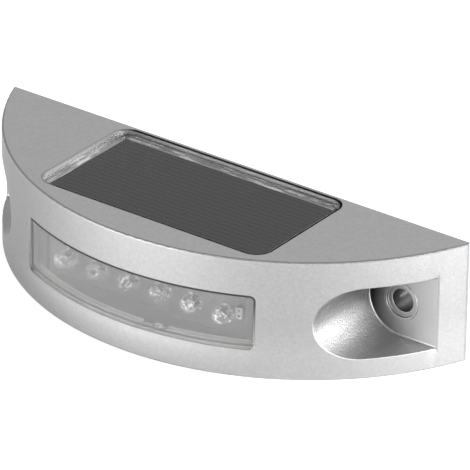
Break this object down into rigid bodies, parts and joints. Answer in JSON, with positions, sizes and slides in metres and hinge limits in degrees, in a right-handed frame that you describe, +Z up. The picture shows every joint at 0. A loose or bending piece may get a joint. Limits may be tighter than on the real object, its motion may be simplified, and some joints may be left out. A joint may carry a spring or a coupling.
{
  "type": "solar wall light",
  "caption": "Half-moon die-cast solar wall light with a panel in its flat top, a curved front window over a row of small lamps, and a screw pocket at each end.",
  "frame": {"origin": "on the wall plane, midway between the two fixing screws", "axes": "+X along the wall, +Y into the wall, +Z up"},
  "size_m": [0.15, 0.051, 0.0347],
  "materials": {
    "cast_aluminium": "matt silver-grey, fine blasted grain",
    "clear_lens": "clear, faintly hazed, polished",
    "silicone_grey": "matt silicone",
    "frame_plastic": "moulded, matt grey",
    "screw_steel": "zinc plated",
    "board_white": "white solder mask",
    "lamp_epoxy": "clear epoxy, glossy",
    "connector_ivory": "moulded nylon",
    "clear_resin": "clear resin, glossy",
    "cell_dark": "dark grey cell with fine lines",
    "silicone_clear": "clear silicone bead",
    "cover_plastic": "moulded, fine spark-eroded grain",
    "gasket_black": "matt rubber",
    "board_green": "green solder mask",
    "chip_black": "moulded epoxy",
    "inductor_green": "lacquered",
    "capacitor_sleeve": "shrink sleeve",
    "knob_white": "moulded",
    "foam_white": "foam tape",
    "battery_sleeve": "plain shrink sleeve",
    "contact_nickel": "nickel plated",
    "wire_red": "insulation",
    "wire_black": "insulation"
  },
  "bodies": {
    "light": {"housing": "cast_aluminium", "window_lens": "clear_lens", "lens_gasket": "silicone_grey", "lamp_frame": "frame_plastic", "frame_screws": "screw_steel", "led_board": "board_white", "led_1": "lamp_epoxy", "led_2": "lamp_epoxy", "led_3": "lamp_epoxy", "led_4": "lamp_epoxy", "led_5": "lamp_epoxy", "led_6": "lamp_epoxy", "led_connector": "connector_ivory", "panel_resin": "clear_resin", "solar_cell": "cell_dark", "panel_backing": "board_white", "panel_bead": "silicone_clear", "back_cover": "cover_plastic", "cover_gasket": "gasket_black", "cover_screws": "screw_steel", "control_board": "board_green", "board_screws": "screw_steel", "driver_chip": "chip_black", "inductor": "inductor_green", "blocking_diode": "chip_black", "capacitor": "capacitor_sleeve", "switch_case": "cover_plastic", "battery_holder": "cover_plastic", "holder_tape": "foam_white", "battery_cell": "battery_sleeve", "battery_spring": "contact_nickel", "contact_plus": "contact_nickel", "contact_minus": "contact_nickel", "panel_wire_red": "wire_red", "panel_wire_black": "wire_black", "battery_wire_red": "wire_red", "battery_wire_black": "wire_black", "lamp_wire_red": "wire_red", "lamp_wire_black": "wire_black"},
    "switch_knob": {"switch_slider": "knob_white"}
  },
  "joints": [
    {"name": "switch_slide", "type": "slide", "parent": "light", "child": "switch_knob", "axis": [1, 0, 0], "range_m": [0, 0.002]}
  ]
}
